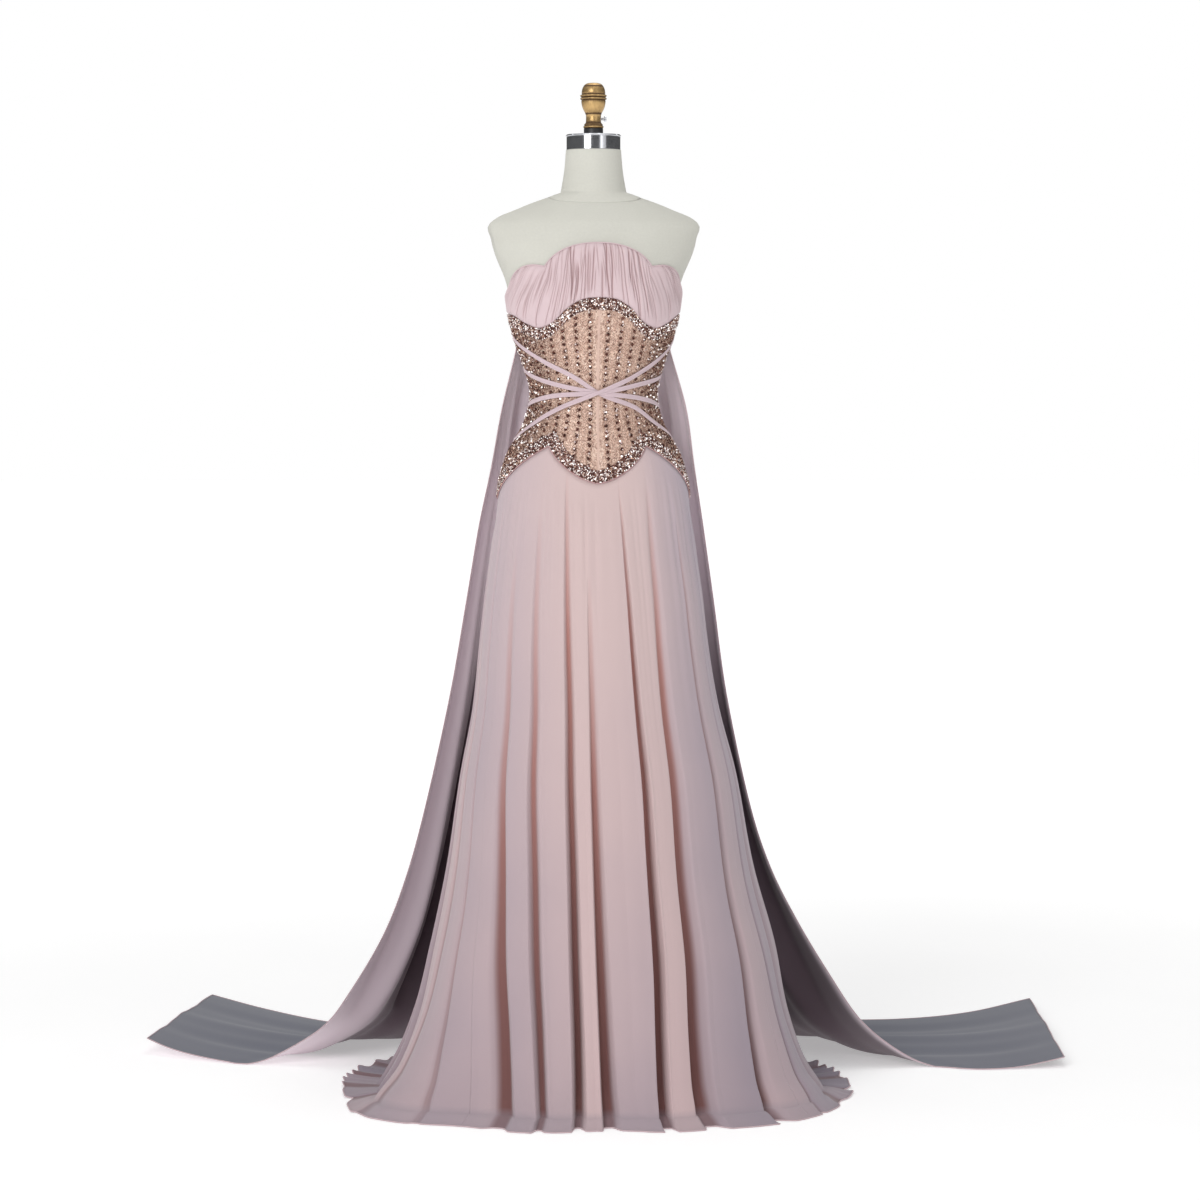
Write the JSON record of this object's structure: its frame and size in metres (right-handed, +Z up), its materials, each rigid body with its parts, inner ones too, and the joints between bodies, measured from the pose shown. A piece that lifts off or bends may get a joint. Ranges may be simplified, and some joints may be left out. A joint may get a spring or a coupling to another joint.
{
  "type": "a-line evening gown on a limbless dress form",
  "caption": "Strapless floor-length a-line evening gown with a beaded corset bodice and floating panels, on a limbless dress form with its stand.",
  "frame": {"origin": "on the floor, at the centre of the underside of the stand's base, under the form's axis", "axes": "+Z up, the gown's front faces -Y, +X is to the right of someone who looks at the front"},
  "size_m": [1.756, 1.3559, 1.784],
  "materials": {
    "linen": "matt linen stretched over the form",
    "chrome": "polished",
    "black_plastic": "satin",
    "antique_brass": "aged, satin",
    "painted_steel": "satin black",
    "bust_chiffon": "matt ruched chiffon",
    "beaded_net": "net with rows of beads and sequins",
    "bead_trim": "closely beaded band with crystals",
    "band_chiffon": "pleated chiffon",
    "skirt_chiffon": "matt sheer chiffon",
    "streamer_chiffon": "matt sheer chiffon",
    "zip_metal": "satin"
  },
  "bodies": {
    "gown": {"form_torso": "linen", "form_neck": "linen", "neck_cap": "chrome", "finial_collar": "black_plastic", "finial": "antique_brass", "stand_pole": "painted_steel", "stand_base": "painted_steel", "bust_front": "bust_chiffon", "bust_back_left": "bust_chiffon", "bust_back_right": "bust_chiffon", "bodice_front": "beaded_net", "bodice_back_left": "beaded_net", "bodice_back_right": "beaded_net", "trim_top_front": "bead_trim", "trim_top_back_left": "bead_trim", "trim_top_back_right": "bead_trim", "trim_low_front": "bead_trim", "trim_low_back_left": "bead_trim", "trim_low_back_right": "bead_trim", "band_high_left": "band_chiffon", "band_mid_left": "band_chiffon", "band_mid_right": "band_chiffon", "band_high_right": "band_chiffon", "skirt_front": "skirt_chiffon", "skirt_side_left": "skirt_chiffon", "skirt_side_right": "skirt_chiffon", "skirt_back_left": "skirt_chiffon", "skirt_back_right": "skirt_chiffon", "streamer_left": "streamer_chiffon", "streamer_right": "streamer_chiffon", "zip_slider": "zip_metal"},
    "zip_tab": {"zip_tab": "zip_metal"},
    "thumb_screw": {"thumb_screw": "chrome"}
  },
  "joints": [
    {"name": "zip_tab_swing", "type": "hinge", "parent": "gown", "child": "zip_tab", "pos_m": [0, 0.09964, 1.379], "axis": [1, 0, 0], "range_deg": [0, 165]},
    {"name": "thumb_screw_turn", "type": "hinge", "parent": "gown", "child": "thumb_screw", "pos_m": [0.0137, 0, 1.7205], "axis": [1, 0, 0], "continuous": true}
  ]
}
